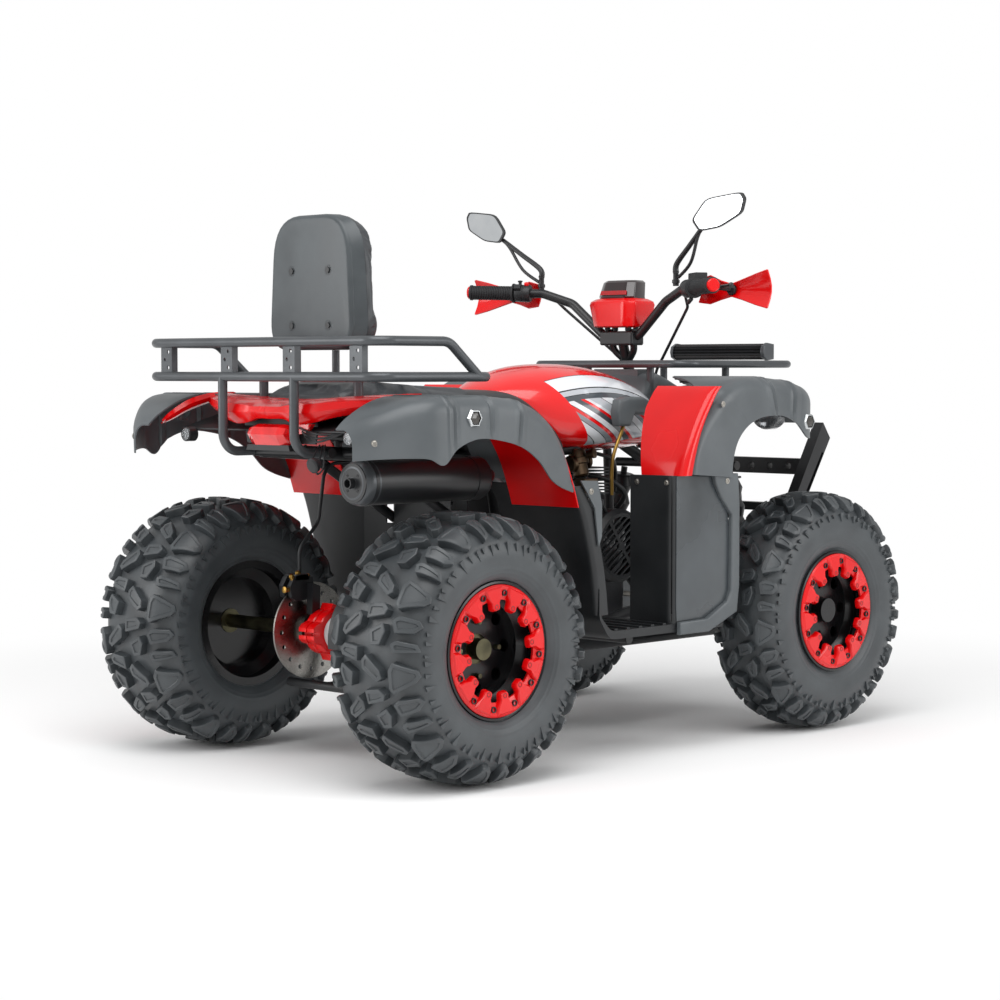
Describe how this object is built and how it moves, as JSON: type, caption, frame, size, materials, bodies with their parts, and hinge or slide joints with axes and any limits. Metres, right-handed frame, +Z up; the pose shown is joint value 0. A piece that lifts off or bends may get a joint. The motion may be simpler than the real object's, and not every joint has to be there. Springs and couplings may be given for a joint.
{
  "type": "utility quad bike",
  "caption": "Utility quad bike with lugged off-road tyres, red bead rings, tube racks, padded seat and backrest, and steering that turns the front wheels.",
  "frame": {"origin": "on the ground, in the middle plane, midway along the whole length", "axes": "+X forward, +Y to the rider's left, +Z up"},
  "size_m": [1.7774, 1.022, 1.2518],
  "materials": {
    "tyre_rubber": "moulded rubber, matt",
    "black_steel": "black powder coat, satin",
    "black_rim": "black enamel, half gloss",
    "red_paint": "red enamel, gloss",
    "red_plastic": "moulded red plastic, gloss",
    "grey_plastic": "moulded grey plastic, fine grain",
    "black_plastic": "moulded black plastic, fine grain",
    "grey_steel": "grey powder coat, satin",
    "bright_steel": "zinc plated, dull",
    "disc_steel": "ground steel",
    "engine_metal": "cast, painted dark grey",
    "black_vinyl": "grained vinyl",
    "red_lens": "clear red lens",
    "amber_lens": "clear amber lens",
    "clear_lens": "clear lens",
    "lever_brass": "yellow zinc, dull",
    "black_aluminium": "black anodised"
  },
  "bodies": {
    "chassis": {"axle_carrier": "red_paint", "backrest": "black_vinyl", "brake_hose": "black_plastic", "drive_chain": "bright_steel", "engine": "engine_metal", "engine_fan_cover": "black_plastic", "exhaust": "black_steel", "footwells": "black_plastic", "frame": "black_steel", "front_arms": "black_steel", "front_bumper": "black_steel", "front_fender": "grey_plastic", "front_rack": "grey_steel", "front_side_panels": "red_plastic", "gear_lever": "lever_brass", "headlamps": "clear_lens", "light_bar": "black_aluminium", "rear_fender": "grey_plastic", "rear_mudguard_panel": "black_plastic", "rear_rack": "grey_steel", "seat": "black_vinyl", "shock_absorbers": "black_steel", "steering_shroud": "grey_plastic", "swingarm": "black_steel", "tail_lamps": "red_lens", "tail_panel": "red_plastic", "tank_cover": "red_plastic", "turn_lamps": "amber_lens"},
    "rear_axle": {"rear_axle": "bright_steel", "rear_sprocket": "bright_steel", "rear_brake_disc": "disc_steel", "rear_tyre_left": "tyre_rubber", "rear_tyre_right": "tyre_rubber", "rear_rims": "black_rim", "rear_rings": "red_paint"},
    "steering": {"handlebar": "black_steel", "hand_controls": "black_plastic", "hand_guards": "red_plastic", "dash_pod": "red_plastic", "mirrors": "black_plastic", "control_cables": "black_plastic"},
    "knuckle_left": {"knuckle_left": "black_steel"},
    "knuckle_right": {"knuckle_right": "black_steel"},
    "front_wheel_left": {"front_tyre_left": "tyre_rubber", "front_rim_left": "black_rim", "front_ring_left": "red_paint"},
    "front_wheel_right": {"front_tyre_right": "tyre_rubber", "front_rim_right": "black_rim", "front_ring_right": "red_paint"},
    "tie_rod_left": {"tie_rod_left": "bright_steel"},
    "tie_rod_right": {"tie_rod_right": "bright_steel"}
  },
  "joints": [
    {"name": "rear_axle_spin", "type": "hinge", "parent": "chassis", "child": "rear_axle", "pos_m": [-0.61, 0, 0.2795], "axis": [0, 1, 0], "continuous": true},
    {"name": "steering_turn", "type": "hinge", "parent": "chassis", "child": "steering", "pos_m": [0.5181, 0, 0.3035], "axis": [-0.309, 0, 0.9511], "range_deg": [-30, 30]},
    {"name": "knuckle_left_turn", "type": "hinge", "parent": "chassis", "child": "knuckle_left", "pos_m": [0.521, 0.335, 0.2795], "axis": [0, 0, 1], "range_deg": [-30, 30]},
    {"name": "front_wheel_left_spin", "type": "hinge", "parent": "knuckle_left", "child": "front_wheel_left", "pos_m": [0.521, 0.41, 0.2795], "axis": [0, 1, 0], "continuous": true},
    {"name": "tie_rod_left_turn", "type": "hinge", "parent": "steering", "child": "tie_rod_left", "pos_m": [0.461, 0.02, 0.285], "axis": [-0.309, 0, 0.9511], "range_deg": [-30, 30]},
    {"name": "knuckle_right_turn", "type": "hinge", "parent": "chassis", "child": "knuckle_right", "pos_m": [0.521, -0.335, 0.2795], "axis": [0, 0, 1], "range_deg": [-30, 30]},
    {"name": "front_wheel_right_spin", "type": "hinge", "parent": "knuckle_right", "child": "front_wheel_right", "pos_m": [0.521, -0.41, 0.2795], "axis": [0, 1, 0], "continuous": true},
    {"name": "tie_rod_right_turn", "type": "hinge", "parent": "steering", "child": "tie_rod_right", "pos_m": [0.461, -0.02, 0.285], "axis": [-0.309, 0, 0.9511], "range_deg": [-30, 30]}
  ],
  "couplings": [
    {"joint": "knuckle_left_turn", "follows": "steering_turn", "ratio": 1},
    {"joint": "tie_rod_left_turn", "follows": "steering_turn", "ratio": -1},
    {"joint": "knuckle_right_turn", "follows": "steering_turn", "ratio": 1},
    {"joint": "tie_rod_right_turn", "follows": "steering_turn", "ratio": -1}
  ]
}
